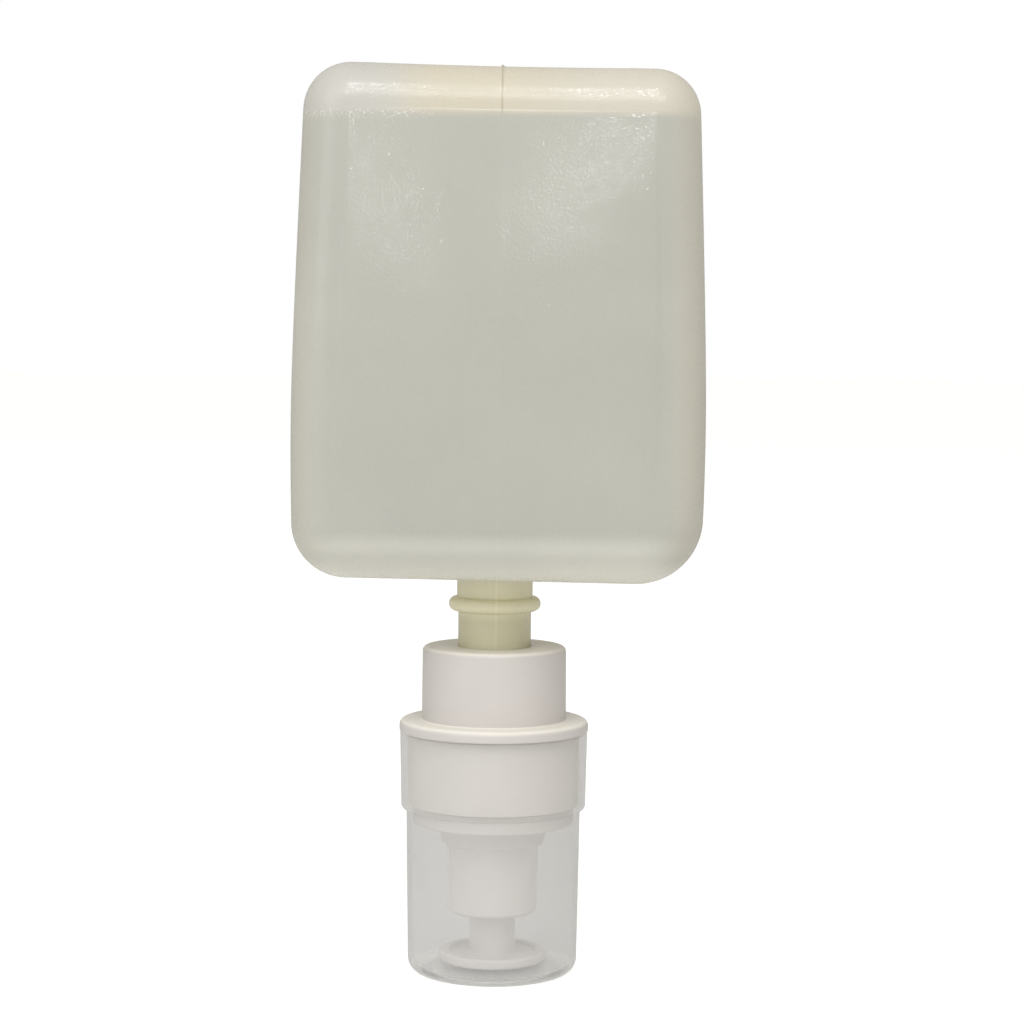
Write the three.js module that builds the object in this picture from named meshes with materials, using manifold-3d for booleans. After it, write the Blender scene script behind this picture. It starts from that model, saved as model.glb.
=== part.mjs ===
// A foam soap refill: an upturned blow-moulded bottle of liquid soap on a push-up foam pump,
// standing on the clear overcap that keeps the nozzle clean.
//
// Millimetres, +Z up. The origin is the centre of the overcap's base, the pump's axis is Z,
// and the bottle's wide front face looks along -Y.

import * as THREE from 'three';
import { mergeVertices } from 'three/addons/utils/BufferGeometryUtils.js';
import Module from 'manifold-3d';

const wasm = await Module();
wasm.setup();

// ---------------------------------------------------------------- driving dimensions

const GAP = 0.3; // left between pieces that touch on the real object
const SLIP = 0.1; // left between a seal's lip and its bore
const STROKE = 10; // how far the nozzle is pushed up

const bottle = {
  top: 256.2,
  shoulder: 115.3,
  depth: 76,
  wall: 0.9,
  edgeRound: 12.6, // rounding from the wide faces into the sides
  halfTop: 54.4, // half widths at the top corner, the widest level and the low corner
  halfWidest: 57.2,
  halfLow: 56.9,
  widestLevel: 154,
  topCorner: 13.2,
  lowCorner: 16.6,
  neckOuter: 10.8,
  neckLower: 10.4,
  neckBore: 8.6,
  lip: 84,
  liquidLevel: 242.9,
};

const bead = { outer: 13.1, top: 108.3, bottom: 104.3 };
const snapRing = { outer: 11.9, bottom: 89.2 };

const housing = {
  collarTop: 94.1,
  collarTopRadius: 20.5,
  collarRootRadius: 20.65,
  collarBore: 18.75,
  plate: 2,
  flangeRadius: 27.03,
  flangeTop: 73.1,
  flangeUnder: 69.75,
  ledge: 71.1,
  skirtRadius: 24.5,
  skirtBore: 22.9,
  skirtBottom: 48.7,
};

const guide = {
  bottom: 17.3,
  radius: 12.8,
  bore: 11.3,
  floor: 1.7,
  bossBottom: 37.4,
  bossRadius: 14.9,
  rimBottom: 43.2,
  rimRadius: 22.95,
  sleeveTop: 68.7,
  sleeveBore: 21.2,
};

const nozzle = {
  discBottom: 3.3,
  discTop: 6.2,
  discRadius: 15.2,
  dishRadius: 12.5,
  dish: 0.7,
  tubeRadius: 6.63,
  tubeBore: 5,
  tubeTop: 29.5,
};

const pumpBody = {
  plateTop: 81.9,
  plate: 1.8,
  plateRadius: 11.8,
  liquidBore: 5.2,
  liquidOuter: 6.5,
  liquidBottom: 62.6,
  airBore: 17,
  airOuter: 18.3,
  airBottom: 50,
  web: 1.5,
  ribWidth: 5,
  ribThickness: 1.2,
};

const overcap = {
  baseCorner: 4,
  footInner: 16.6,
  recess: 0.5,
  floorTop: 1.8,
  wall: 1.35,
  bottomRadius: 24.21,
  waistRadius: 24.9,
  shoulder: 47.3,
  ringRadius: 26.38,
  rimRadius: 26.85,
  rimWall: 1.5,
};

const piston = { under: 50.3, top: 52, upperLip: 55.5, bore: 3.7, lipThickness: 0.7 };
const spigot = { inner: 7.6, outer: 9.1, length: 6.3 };
const outwardHoles = { count: 6, circle: 6.2, radius: 0.6 };
const intakeHoles = { count: 6, circle: 13, radius: 0.8 };
const airValve = { inner: 11.3, outer: 14.7, thickness: 0.6 };
const barrel = { clearance: 0.4, wall: 1.5, floor: 1.6, socketWall: 1.3 };
const gasket = { inner: 8.9, outer: 11.6 };
const inletHoles = { count: 6, circle: 3.3, radius: 1.1 };

const inletValve = {
  stem: 1.2,
  barb: 1.75,
  barbHeight: 1.8,
  hole: 1.5,
  disc: 4.6,
  thickness: 1.2,
  edge: 0.6,
};

const spring = { radius: 8.6, wire: 0.45, turns: 7, chordsPerTurn: 12 };

const plunger = {
  bore: 1.6,
  footBore: 2.6,
  footRadius: 5.2,
  footHeight: 1.5,
  stemRadius: 3.4,
  headRadius: 4.3,
  headHeight: 3.5,
  grooveRadius: 3.6,
  grooveBottom: 1, // above the head's underside
  grooveTop: 2.8,
  room: 0.6, // left above the head when the nozzle is pushed right up
};

const plungerSeal = { inner: 3.9, height: 1.2, chamfer: 0.3, lipReach: 0.4 };

const duckbill = {
  slit: 0.35,
  tipRadius: 1.2,
  tipDrop: 3.6,
  rootRadius: 2.9,
  flangeRadius: 4.9,
  flangeHeight: 1,
  plugRadius: 2.3,
  plugBore: 1.5,
  plugHeight: 3,
};

const holder = {
  height: 11.5,
  aboveNozzle: 1,
  bore: 7,
  stepRadius: 8.3,
  outerRadius: 9.1,
  recess: 0.9,
  meshRadius: 8,
  meshThickness: 0.35,
};

const FULL = 32; // chords in a large circle
const SMALL = 20; // chords in a small one
const ARC_STEPS = 2; // chords in a rounded corner

// ---------------------------------------------------------------- shapes and solids

/** Rounds the corner at `here` between its two neighbours with an arc of the given radius. */
function roundedCorner(before, here, after, radius) {
  const back = before.clone().sub(here).normalize();
  const on = after.clone().sub(here).normalize();
  const half = Math.acos(back.dot(on)) / 2;
  const middle = back.clone().add(on).normalize();
  const centre = here.clone().addScaledVector(middle, radius / Math.sin(half));
  const reach = radius / Math.tan(half);
  const first = here.clone().addScaledVector(back, reach).sub(centre).angle();
  const last = here.clone().addScaledVector(on, reach).sub(centre).angle();
  const turn = THREE.MathUtils.euclideanModulo(last - first + Math.PI, 2 * Math.PI) - Math.PI;
  return Array.from({ length: ARC_STEPS + 1 }, (_, i) => {
    const angle = first + (turn * i) / ARC_STEPS;
    return new THREE.Vector2(Math.cos(angle), Math.sin(angle)).multiplyScalar(radius).add(centre);
  });
}

/** Corners are [radius, height] or [radius, height, rounding], the outside on the right. */
function outline(corners) {
  const at = corners.map(([r, z]) => new THREE.Vector2(r, z));
  const count = at.length;
  return corners.flatMap(([, , rounding], i) =>
    rounding
      ? roundedCorner(at[(i + count - 1) % count], at[i], at[(i + 1) % count], rounding)
      : [at[i]],
  );
}

/** Turns an outline about Z. One that starts off the axis closes on itself, as a ring. */
function turned(corners, chords = FULL) {
  const points = outline(corners);
  if (points[0].x > 0) points.push(points[0].clone());
  return new THREE.LatheGeometry(points, chords).rotateX(Math.PI / 2);
}

/** A plain rod along Z. */
function rod(radius, bottom, top, x = 0, y = 0, chords = SMALL) {
  return new THREE.CylinderGeometry(radius, radius, top - bottom, chords)
    .rotateX(Math.PI / 2)
    .translate(x, y, (bottom + top) / 2);
}

/** Rods set evenly on a circle about the axis. */
function rodsInCircle({ count, circle, radius }, bottom, top) {
  return Array.from({ length: count }, (_, i) => {
    const angle = (2 * Math.PI * i) / count;
    return rod(radius, bottom, top, circle * Math.cos(angle), circle * Math.sin(angle), 8);
  });
}

/** A geometry as a solid that can be joined and cut. */
function solid(geometry) {
  const bare = geometry.clone();
  bare.deleteAttribute('normal');
  bare.deleteAttribute('uv');
  const merged = mergeVertices(bare, 1e-4);
  const index = merged.index.array;
  const kept = [];
  for (let i = 0; i < index.length; i += 3) {
    const [a, b, c] = index.slice(i, i + 3);
    if (a !== b && b !== c && c !== a) kept.push(a, b, c);
  }
  const vertProperties = new Float32Array(merged.attributes.position.array);
  const triVerts = new Uint32Array(kept);
  return new wasm.Manifold(new wasm.Mesh({ numProp: 3, vertProperties, triVerts }));
}

/** Adds and cuts geometries to and from the first one. */
function joined(base, added = [], removed = []) {
  let result = solid(base);
  for (const geometry of added) result = result.add(solid(geometry));
  for (const geometry of removed) result = result.subtract(solid(geometry));
  const { vertProperties, triVerts } = result.getMesh();
  const geometry = new THREE.BufferGeometry();
  geometry.setAttribute('position', new THREE.BufferAttribute(vertProperties, 3));
  geometry.setIndex(new THREE.BufferAttribute(triVerts, 1));
  return geometry;
}

const material = (color, roughness, extra = {}) =>
  new THREE.MeshStandardMaterial({ color, roughness, metalness: 0, ...extra });

const finish = {
  naturalBottle: () => material(0xc8c5b6, 0.45),
  soap: () => material(0xe6dfc4, 0.2),
  whitePlastic: () => material(0xe8e3dc, 0.4),
  innerPlastic: () => material(0xeeeeea, 0.5),
  softSeal: () => material(0xdedbd2, 0.7),
  silicone: () => material(0xd9dcdc, 0.55),
  mesh: () => material(0xf4f4f0, 0.8),
  steel: () => material(0xb9bbbd, 0.3, { metalness: 1 }),
  clearCap: () => material(0xdfe2dd, 0.35),
};

const group = new THREE.Group();

function piece(name, geometry, look) {
  const mesh = new THREE.Mesh(geometry, look);
  mesh.name = name;
  group.add(mesh);
}

// ---------------------------------------------------------------- bottle and soap

/** The flat panel of the wide face: the bottle's outline less the edge rounding all round. */
function panelShape() {
  const { top, shoulder, edgeRound, topCorner, lowCorner, widestLevel } = bottle;
  const low = bottle.halfLow - edgeRound;
  const widest = bottle.halfWidest - edgeRound;
  const high = bottle.halfTop - edgeRound;
  const lowRound = lowCorner - edgeRound;
  const topRound = topCorner - edgeRound;
  const base = shoulder + edgeRound;
  const roof = top - edgeRound;
  const lowBend = (base + lowRound + widestLevel) / 2;
  const highBend = widestLevel + 0.17 * (roof - widestLevel);
  const shape = new THREE.Shape();
  shape.moveTo(lowRound - low, base);
  shape.lineTo(low - lowRound, base);
  shape.absarc(low - lowRound, base + lowRound, lowRound, -Math.PI / 2, 0);
  shape.quadraticCurveTo(widest, lowBend, widest, widestLevel);
  shape.quadraticCurveTo(widest, highBend, high, roof - topRound);
  shape.absarc(high - topRound, roof - topRound, topRound, 0, Math.PI / 2);
  shape.lineTo(topRound - high, roof);
  shape.absarc(topRound - high, roof - topRound, topRound, Math.PI / 2, Math.PI);
  shape.quadraticCurveTo(-widest, highBend, -widest, widestLevel);
  shape.quadraticCurveTo(-widest, lowBend, -low, base + lowRound);
  shape.absarc(lowRound - low, base + lowRound, lowRound, Math.PI, 1.5 * Math.PI);
  return shape;
}

/** The bottle's pillow shape without its neck, moved in from its outer face by `inset`. */
function pillow(inset) {
  const flat = bottle.depth - 2 * bottle.edgeRound;
  const bevel = bottle.edgeRound - inset;
  return new THREE.ExtrudeGeometry(panelShape(), {
    depth: flat,
    bevelThickness: bevel,
    bevelSize: bevel,
    bevelSegments: 4,
    curveSegments: 4,
  })
    .translate(0, 0, -flat / 2)
    .rotateX(Math.PI / 2);
}

function bottleGeometry() {
  const { neckOuter, neckLower, neckBore, lip, shoulder } = bottle;
  const plateUnder = housing.collarTop - housing.plate;
  const root = shoulder + 0.2;
  const neck = turned([
    [0, lip],
    [neckLower, lip, 0.5],
    [neckLower, snapRing.bottom],
    [snapRing.outer, plateUnder - 1.5, 0.3],
    [snapRing.outer, plateUnder - GAP, 0.3],
    [neckLower, plateUnder - GAP],
    [neckLower, bead.bottom],
    [bead.outer, bead.bottom, 1.9],
    [bead.outer, bead.top, 1.9],
    [neckOuter, bead.top],
    [neckOuter, root, 1.8],
    [neckOuter + 3, root],
    [neckOuter + 3, shoulder + 2],
    [0, shoulder + 2],
  ], SMALL);
  const bore = rod(neckBore, lip - 1, shoulder + 3);
  return joined(pillow(0), [neck], [pillow(bottle.wall), bore]);
}

/** Soap up to its level in the bottle, and down the neck to the pump's inlet plate. */
function soapGeometry() {
  const column = rod(bottle.neckBore - GAP, pumpBody.plateTop + GAP, bottle.shoulder + 4);
  const aboveLevel = new THREE.BoxGeometry(200, 200, 40).translate(0, 0, bottle.liquidLevel + 20);
  const valvePocket = rod(2.1, pumpBody.plateTop, pumpBody.plateTop + 2.6);
  return joined(pillow(bottle.wall + GAP), [column], [aboveLevel, valvePocket]);
}

piece('bottle', bottleGeometry(), finish.naturalBottle());
piece('soap', soapGeometry(), finish.soap());

// ---------------------------------------------------------------- fixed pump parts

/** Collar over the bottle's neck, flange, and the skirt that the overcap fits round. */
function housingGeometry() {
  const plateUnder = housing.collarTop - housing.plate;
  const neckHole = bottle.neckLower + GAP;
  return joined(turned([
    [housing.skirtBore, housing.skirtBottom],
    [housing.skirtRadius, housing.skirtBottom, 0.4],
    [housing.skirtRadius, housing.flangeUnder],
    [housing.flangeRadius, housing.flangeUnder, 0.4],
    [housing.flangeRadius, housing.flangeTop, 1.6],
    [housing.collarRootRadius, housing.flangeTop],
    [housing.collarTopRadius, housing.collarTop, 1.4],
    [neckHole, housing.collarTop],
    [neckHole, plateUnder],
    [housing.collarBore, plateUnder],
    [housing.collarBore, housing.ledge],
    [housing.skirtBore, housing.ledge],
  ]));
}

/** Soft ring squeezed between the neck's lip and the inlet plate. */
function gasketGeometry() {
  const bottom = pumpBody.plateTop + GAP;
  const top = bottle.lip - GAP;
  return joined(turned([
    [gasket.inner, bottom],
    [gasket.outer, bottom],
    [gasket.outer, top],
    [gasket.inner, top],
  ], SMALL));
}

/** Inlet plate, small liquid cylinder and large air cylinder, moulded in one. */
function pumpBodyGeometry() {
  const { plateTop, plateRadius, liquidBore, liquidOuter, airBore, airOuter } = pumpBody;
  const plateUnder = plateTop - pumpBody.plate;
  const webTop = housing.ledge + pumpBody.web;
  const rim = housing.skirtBore - GAP;
  const body = turned([
    [0, plateUnder],
    [liquidBore, plateUnder],
    [liquidBore, pumpBody.liquidBottom],
    [liquidOuter, pumpBody.liquidBottom],
    [liquidOuter, housing.ledge],
    [airBore, housing.ledge],
    [airBore, pumpBody.airBottom],
    [airOuter, pumpBody.airBottom],
    [airOuter, guide.sleeveTop + GAP],
    [rim, guide.sleeveTop + GAP],
    [rim, housing.ledge - GAP],
    [airOuter, housing.ledge - GAP],
    [airOuter, webTop],
    [liquidOuter, webTop],
    [liquidOuter, plateUnder],
    [plateRadius, plateUnder],
    [plateRadius, plateTop],
    [0, plateTop],
  ]);
  const sunk = 0.2;
  const ribHeight = plateUnder - webTop + 2 * sunk;
  const ribs = [0, 1, 2, 3].map((i) =>
    new THREE.BoxGeometry(pumpBody.ribWidth, pumpBody.ribThickness, ribHeight)
      .translate(liquidOuter + pumpBody.ribWidth / 2 - sunk, 0, (plateUnder + webTop) / 2)
      .rotateZ(Math.PI / 4 + (i * Math.PI) / 2),
  );
  const holes = rodsInCircle(inletHoles, plateUnder - 1, plateTop + 1);
  const stemHole = rod(inletValve.hole, plateUnder - 1, plateTop + 1);
  return joined(body, ribs, [...holes, stemHole]);
}

const inletValveUnder = pumpBody.plateTop - pumpBody.plate - GAP - inletValve.thickness;

/** Silicone umbrella that lets soap down into the liquid cylinder and not back. */
function inletValveGeometry() {
  const { stem, barb, barbHeight, disc, thickness, edge } = inletValve;
  const above = pumpBody.plateTop + GAP;
  return joined(turned([
    [0, inletValveUnder],
    [disc - 1.6, inletValveUnder],
    [disc, inletValveUnder + edge],
    [disc, inletValveUnder + thickness],
    [stem, inletValveUnder + thickness],
    [stem, above],
    [barb, above],
    [stem, above + barbHeight],
    [0, above + barbHeight],
  ], SMALL));
}

/** Guide tube, boss and rim, with the sleeve that snaps up inside the skirt. */
function guideGeometry() {
  const hole = nozzle.tubeRadius + GAP;
  const sleeve = housing.skirtBore - GAP;
  const rimTop = housing.skirtBottom - GAP;
  return joined(turned([
    [hole, guide.bottom],
    [guide.radius, guide.bottom, 1.3],
    [guide.radius, guide.bossBottom],
    [guide.bossRadius, guide.bossBottom, 0.9],
    [guide.bossRadius, guide.rimBottom],
    [guide.rimRadius, guide.rimBottom, 0.8],
    [guide.rimRadius, rimTop],
    [sleeve, rimTop],
    [sleeve, guide.sleeveTop],
    [guide.sleeveBore, guide.sleeveTop],
    [guide.sleeveBore, guide.rimBottom + guide.floor],
    [guide.bore, guide.rimBottom + guide.floor],
    [guide.bore, guide.bottom + guide.floor],
    [hole, guide.bottom + guide.floor],
  ]));
}

/** The coil's centre line, rising about the axis. */
class Helix extends THREE.Curve {
  constructor(radius, bottom, top, turns) {
    super();
    Object.assign(this, { radius, bottom, top, turns });
  }

  getPoint(t, target = new THREE.Vector3()) {
    const angle = 2 * Math.PI * this.turns * t;
    const height = THREE.MathUtils.lerp(this.bottom, this.top, t);
    return target.set(this.radius * Math.cos(angle), this.radius * Math.sin(angle), height);
  }
}

/** Steel coil between the air piston and the web of the pump body. */
function springGeometry() {
  const { radius, wire, turns } = spring;
  const bottom = piston.top + GAP + wire;
  const top = housing.ledge - GAP - wire;
  const section = new THREE.Shape().absarc(0, 0, wire, 0, 2 * Math.PI);
  return joined(new THREE.ExtrudeGeometry(section, {
    extrudePath: new Helix(radius, bottom, top, turns),
    steps: turns * spring.chordsPerTurn,
    curveSegments: 3,
    bevelEnabled: false,
  }));
}

piece('pump_housing', housingGeometry(), finish.whitePlastic());
piece('neck_gasket', gasketGeometry(), finish.softSeal());
piece('pump_body', pumpBodyGeometry(), finish.innerPlastic());
piece('inlet_valve', inletValveGeometry(), finish.silicone());
piece('nozzle_guide', guideGeometry(), finish.whitePlastic());
piece('return_spring', springGeometry(), finish.steel());

// ---------------------------------------------------------------- moving pump parts

/** Foam outlet tube with the broad dished disc that a dispenser pushes up. */
function nozzleGeometry() {
  const dishFloor = nozzle.discTop - nozzle.dish;
  return joined(turned([
    [nozzle.tubeBore, nozzle.discBottom],
    [nozzle.discRadius, nozzle.discBottom, 0.7],
    [nozzle.discRadius, nozzle.discTop, 0.8],
    [nozzle.dishRadius, nozzle.discTop],
    [nozzle.dishRadius - nozzle.dish, dishFloor],
    [nozzle.tubeRadius, dishFloor],
    [nozzle.tubeRadius, nozzle.tubeTop],
    [nozzle.tubeBore, nozzle.tubeTop],
  ]));
}

/** Mixing barrel: it slides in the guide, and the nozzle's tube plugs into its foot. */
function barrelGeometry() {
  const bottom = guide.bottom + guide.floor + GAP;
  const outer = guide.bore - barrel.clearance;
  const bore = outer - barrel.wall;
  const socket = nozzle.tubeRadius + GAP;
  const socketOuter = socket + barrel.socketWall;
  const socketTop = nozzle.tubeTop - 0.5;
  const top = piston.under - GAP;
  return joined(turned([
    [socket, bottom],
    [outer, bottom, 0.4],
    [outer, top],
    [bore, top],
    [bore, bottom + barrel.floor],
    [socketOuter, bottom + barrel.floor],
    [socketOuter, socketTop],
    [socket, socketTop],
  ]));
}

/** Air piston with two sealing lips, a spigot for the barrel, and rings of air holes. */
function airPistonGeometry() {
  const { under, top, upperLip, bore, lipThickness } = piston;
  const lip = pumpBody.airBore - SLIP;
  const waist = lip - 0.5;
  const body = turned([
    [bore, under],
    [spigot.inner, under],
    [spigot.inner, under - spigot.length],
    [spigot.outer, under - spigot.length],
    [spigot.outer, under],
    [lip, under],
    [lip, under + 0.9],
    [waist, under + 1.6],
    [waist, upperLip - 1.2],
    [lip, upperLip],
    [lip - lipThickness, upperLip],
    [lip - 2 * lipThickness, top],
    [bore, top],
  ]);
  const outward = rodsInCircle(outwardHoles, under - 1, top + 1);
  const intake = rodsInCircle(intakeHoles, under - 1, top + 1);
  return joined(body, [], [...outward, ...intake]);
}

/** Thin ring over the air piston's intake holes. */
function airValveGeometry() {
  const { inner, outer, thickness } = airValve;
  const bottom = piston.top + GAP;
  const top = bottom + thickness;
  return joined(turned([[inner, bottom], [outer, bottom], [outer, top], [inner, top]]));
}

// The plunger's head just clears the inlet valve when the nozzle is pushed right up.
const headUnder = inletValveUnder - plunger.room - STROKE - plunger.headHeight;

/** Hollow plunger that draws soap in and drives it down its own bore. */
function plungerGeometry() {
  const { bore, footBore, footRadius, stemRadius, headRadius, grooveRadius } = plunger;
  const footTop = piston.under - GAP;
  const footUnder = footTop - plunger.footHeight;
  return joined(turned([
    [footBore, footUnder],
    [footRadius, footUnder],
    [footRadius, footTop],
    [stemRadius, footTop],
    [stemRadius, headUnder],
    [headRadius, headUnder],
    [headRadius, headUnder + plunger.grooveBottom],
    [grooveRadius, headUnder + plunger.grooveBottom],
    [grooveRadius, headUnder + plunger.grooveTop],
    [headRadius, headUnder + plunger.grooveTop],
    [headRadius, headUnder + plunger.headHeight],
    [bore, headUnder + plunger.headHeight],
    [bore, footUnder + duckbill.plugHeight],
    [footBore, footUnder + duckbill.plugHeight],
  ], SMALL));
}

/** Soft ring in the plunger's groove, sealing against the liquid cylinder. */
function plungerSealGeometry() {
  const { inner, height, chamfer, lipReach } = plungerSeal;
  const bottom = headUnder + plunger.grooveBottom + GAP;
  const lip = pumpBody.liquidBore - SLIP;
  return joined(turned([
    [inner, bottom],
    [lip - lipReach, bottom],
    [lip, bottom + chamfer],
    [lip, bottom + height - chamfer],
    [lip - lipReach, bottom + height],
    [inner, bottom + height],
  ], SMALL));
}

/** Duckbill plugged into the plunger's foot: soap leaves through its tip. */
function outletValveGeometry() {
  const { slit, tipRadius, rootRadius, flangeRadius, flangeHeight, plugRadius, plugBore } = duckbill;
  const flangeTop = piston.under - 2 * GAP - plunger.footHeight;
  const flangeUnder = flangeTop - flangeHeight;
  const tip = flangeTop - duckbill.tipDrop;
  const plugTop = flangeTop + duckbill.plugHeight;
  return joined(turned([
    [slit, tip],
    [tipRadius, tip],
    [rootRadius, flangeUnder],
    [flangeRadius, flangeUnder],
    [flangeRadius, flangeTop],
    [plugRadius, flangeTop],
    [plugRadius, plugTop],
    [plugBore, plugTop],
    [plugBore, flangeTop - 0.2],
  ], SMALL));
}

const holderBottom = nozzle.tubeTop + holder.aboveNozzle;
const holderTop = holderBottom + holder.height;

/** Short tube with a recess at each end for the foaming meshes. */
function meshHolderGeometry() {
  const { bore, stepRadius, outerRadius, recess } = holder;
  return joined(turned([
    [bore, holderBottom + recess],
    [stepRadius, holderBottom + recess],
    [stepRadius, holderBottom],
    [outerRadius, holderBottom],
    [outerRadius, holderTop],
    [stepRadius, holderTop],
    [stepRadius, holderTop - recess],
    [bore, holderTop - recess],
  ], SMALL));
}

const meshDisc = (bottom) =>
  joined(rod(holder.meshRadius, bottom, bottom + holder.meshThickness));

const lowMesh = holderBottom + holder.recess - GAP - holder.meshThickness;
const highMesh = holderTop - holder.recess + GAP;

piece('nozzle', nozzleGeometry(), finish.whitePlastic());
piece('mixing_barrel', barrelGeometry(), finish.innerPlastic());
piece('air_piston', airPistonGeometry(), finish.innerPlastic());
piece('air_valve', airValveGeometry(), finish.silicone());
piece('plunger', plungerGeometry(), finish.innerPlastic());
piece('plunger_seal', plungerSealGeometry(), finish.softSeal());
piece('outlet_valve', outletValveGeometry(), finish.silicone());
piece('mesh_holder', meshHolderGeometry(), finish.innerPlastic());
piece('coarse_mesh', meshDisc(highMesh), finish.mesh());
piece('fine_mesh', meshDisc(lowMesh), finish.mesh());

// ---------------------------------------------------------------- overcap

/** Push-on cup with a wide upper ring round the skirt and a foot ring to stand on. */
function overcapGeometry() {
  const { wall, recess, floorTop, shoulder, footInner } = overcap;
  const rim = housing.flangeUnder - GAP;
  const rimBore = overcap.rimRadius - overcap.rimWall;
  return joined(turned([
    [0, recess],
    [footInner, recess],
    [footInner + recess, 0],
    [overcap.bottomRadius, 0, overcap.baseCorner],
    [overcap.waistRadius, shoulder],
    [overcap.ringRadius, shoulder, 1.3],
    [overcap.rimRadius, rim, 0.4],
    [rimBore, rim, 0.4],
    [rimBore - 0.35, shoulder + 0.9],
    [overcap.waistRadius - wall, shoulder - 0.5],
    [overcap.bottomRadius - wall, floorTop, 2.8],
    [0, floorTop],
  ]));
}

piece('overcap', overcapGeometry(), finish.clearCap());

export default group;
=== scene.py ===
import math

import bmesh
import bpy
from mathutils import Matrix, Vector, noise


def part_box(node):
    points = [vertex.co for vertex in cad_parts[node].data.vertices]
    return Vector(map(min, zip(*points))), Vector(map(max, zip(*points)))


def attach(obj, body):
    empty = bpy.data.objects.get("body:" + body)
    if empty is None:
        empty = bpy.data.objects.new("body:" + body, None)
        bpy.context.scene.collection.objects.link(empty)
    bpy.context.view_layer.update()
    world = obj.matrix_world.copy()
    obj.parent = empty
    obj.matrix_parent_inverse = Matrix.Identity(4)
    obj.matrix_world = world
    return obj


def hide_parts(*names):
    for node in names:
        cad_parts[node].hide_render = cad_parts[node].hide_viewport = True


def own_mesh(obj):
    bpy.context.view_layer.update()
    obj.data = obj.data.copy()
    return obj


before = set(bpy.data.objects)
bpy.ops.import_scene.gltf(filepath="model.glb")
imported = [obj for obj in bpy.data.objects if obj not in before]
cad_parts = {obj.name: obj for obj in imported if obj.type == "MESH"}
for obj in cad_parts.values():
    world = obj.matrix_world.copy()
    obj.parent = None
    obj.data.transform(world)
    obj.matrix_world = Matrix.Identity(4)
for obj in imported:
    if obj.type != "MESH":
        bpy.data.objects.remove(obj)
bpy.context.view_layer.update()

# A foam soap refill: an upturned blow-moulded bottle of soap on a push-up foam pump, standing on
# its frosted overcap. Lengths below are in millimetres until a mesh is made, heights are above
# the surface that the overcap stands on, and the pump's axis is Z.

MM = 0.001
ROUND = 128  # segments in a turned piece
FINE = 8  # steps in a rounded corner
ON_AXIS = 1e-9  # a point nearer the axis than this is on it


def span(node):
    """The lowest and highest level of a CAD node, in millimetres."""
    low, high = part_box(node)
    return low.z / MM, high.z / MM


# ------------------------------------------------------------------------- outlines and meshes


def rounded_corner(before, here, after, radius, steps):
    """An arc of the radius in the corner at `here`, between its two neighbours."""
    back = (before - here).normalized()
    on = (after - here).normalized()
    half = back.angle(on) / 2
    centre = here + (back + on).normalized() * (radius / math.sin(half))
    reach = radius / math.tan(half)
    first = here + back * reach - centre
    last = here + on * reach - centre
    start = math.atan2(first.y, first.x)
    turn = math.remainder(math.atan2(last.y, last.x) - start, math.tau)
    angles = [start + turn * i / steps for i in range(steps + 1)]
    return [centre + Vector((math.cos(a), math.sin(a))) * radius for a in angles]


def outline(corners, steps=FINE, longest=3.0):
    """Corners are (x, z) or (x, z, rounding). Long straight runs are divided."""
    at = [Vector(corner[:2]) for corner in corners]
    count = len(at)
    points = []
    for i, corner in enumerate(corners):
        if len(corner) == 3:
            points += rounded_corner(at[i - 1], at[i], at[(i + 1) % count], corner[2], steps)
        else:
            points.append(at[i])
    divided = []
    for here, on in zip(points, points[1:] + points[:1]):
        parts = max(1, math.ceil((on - here).length / longest))
        divided += [here.lerp(on, k / parts) for k in range(parts)]
    return divided


def turned(corners, segments=ROUND, shape=None):
    """Vertices and faces of an outline turned about Z. An outline that starts on the axis is
    open there, and any other closes on itself as a ring. shape(angle, r, z) may move a point."""
    points = outline(corners)
    on_axis = points[0].x < ON_AXIS
    if on_axis:
        while points[-1].x < ON_AXIS and points[-2].x < ON_AXIS:
            points.pop()
    vertices, rows = [], []
    for point in points:
        if point.x < ON_AXIS:
            rows.append([len(vertices)] * segments)
            vertices.append((0.0, 0.0, point.y))
            continue
        rows.append(list(range(len(vertices), len(vertices) + segments)))
        for k in range(segments):
            angle = math.tau * k / segments
            r, z = shape(angle, point.x, point.y) if shape else (point.x, point.y)
            vertices.append((r * math.cos(angle), r * math.sin(angle), z))
    pairs = list(zip(rows, rows[1:])) if on_axis else list(zip(rows, rows[1:] + rows[:1]))
    faces = []
    for a, b in pairs:
        for k in range(segments):
            n = (k + 1) % segments
            face = list(dict.fromkeys((a[k], a[n], b[n], b[k])))
            if len(face) > 2:
                faces.append(face)
    return vertices, faces


def mesh_object(name, parts, sharp=35):
    """One object from several (vertices, faces) in millimetres, smooth but for sharp edges."""
    vertices, faces = [], []
    for part_vertices, part_faces in parts:
        start = len(vertices)
        vertices += [tuple(c * MM for c in v) for v in part_vertices]
        faces += [[start + i for i in face] for face in part_faces]
    mesh = bpy.data.meshes.new(name)
    mesh.from_pydata(vertices, [], faces)
    work = bmesh.new()
    work.from_mesh(mesh)
    bmesh.ops.recalc_face_normals(work, faces=work.faces)
    work.to_mesh(mesh)
    work.free()
    obj = bpy.data.objects.new(name, mesh)
    bpy.context.scene.collection.objects.link(obj)
    smooth(mesh, sharp)
    return obj


def smooth(mesh, sharp):
    mesh.polygons.foreach_set("use_smooth", [True] * len(mesh.polygons))
    mesh.set_sharp_from_angle(angle=math.radians(sharp))
    mesh.update()


def place(obj, body, slot, material, *nodes):
    """Gives a piece its material and body, and hides the CAD nodes that it stands for."""
    obj.data.materials.clear()
    obj.data.materials.append(material)
    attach(obj, body)
    if nodes:
        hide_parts(*nodes)


# ------------------------------------------------------------------------- materials


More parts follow.
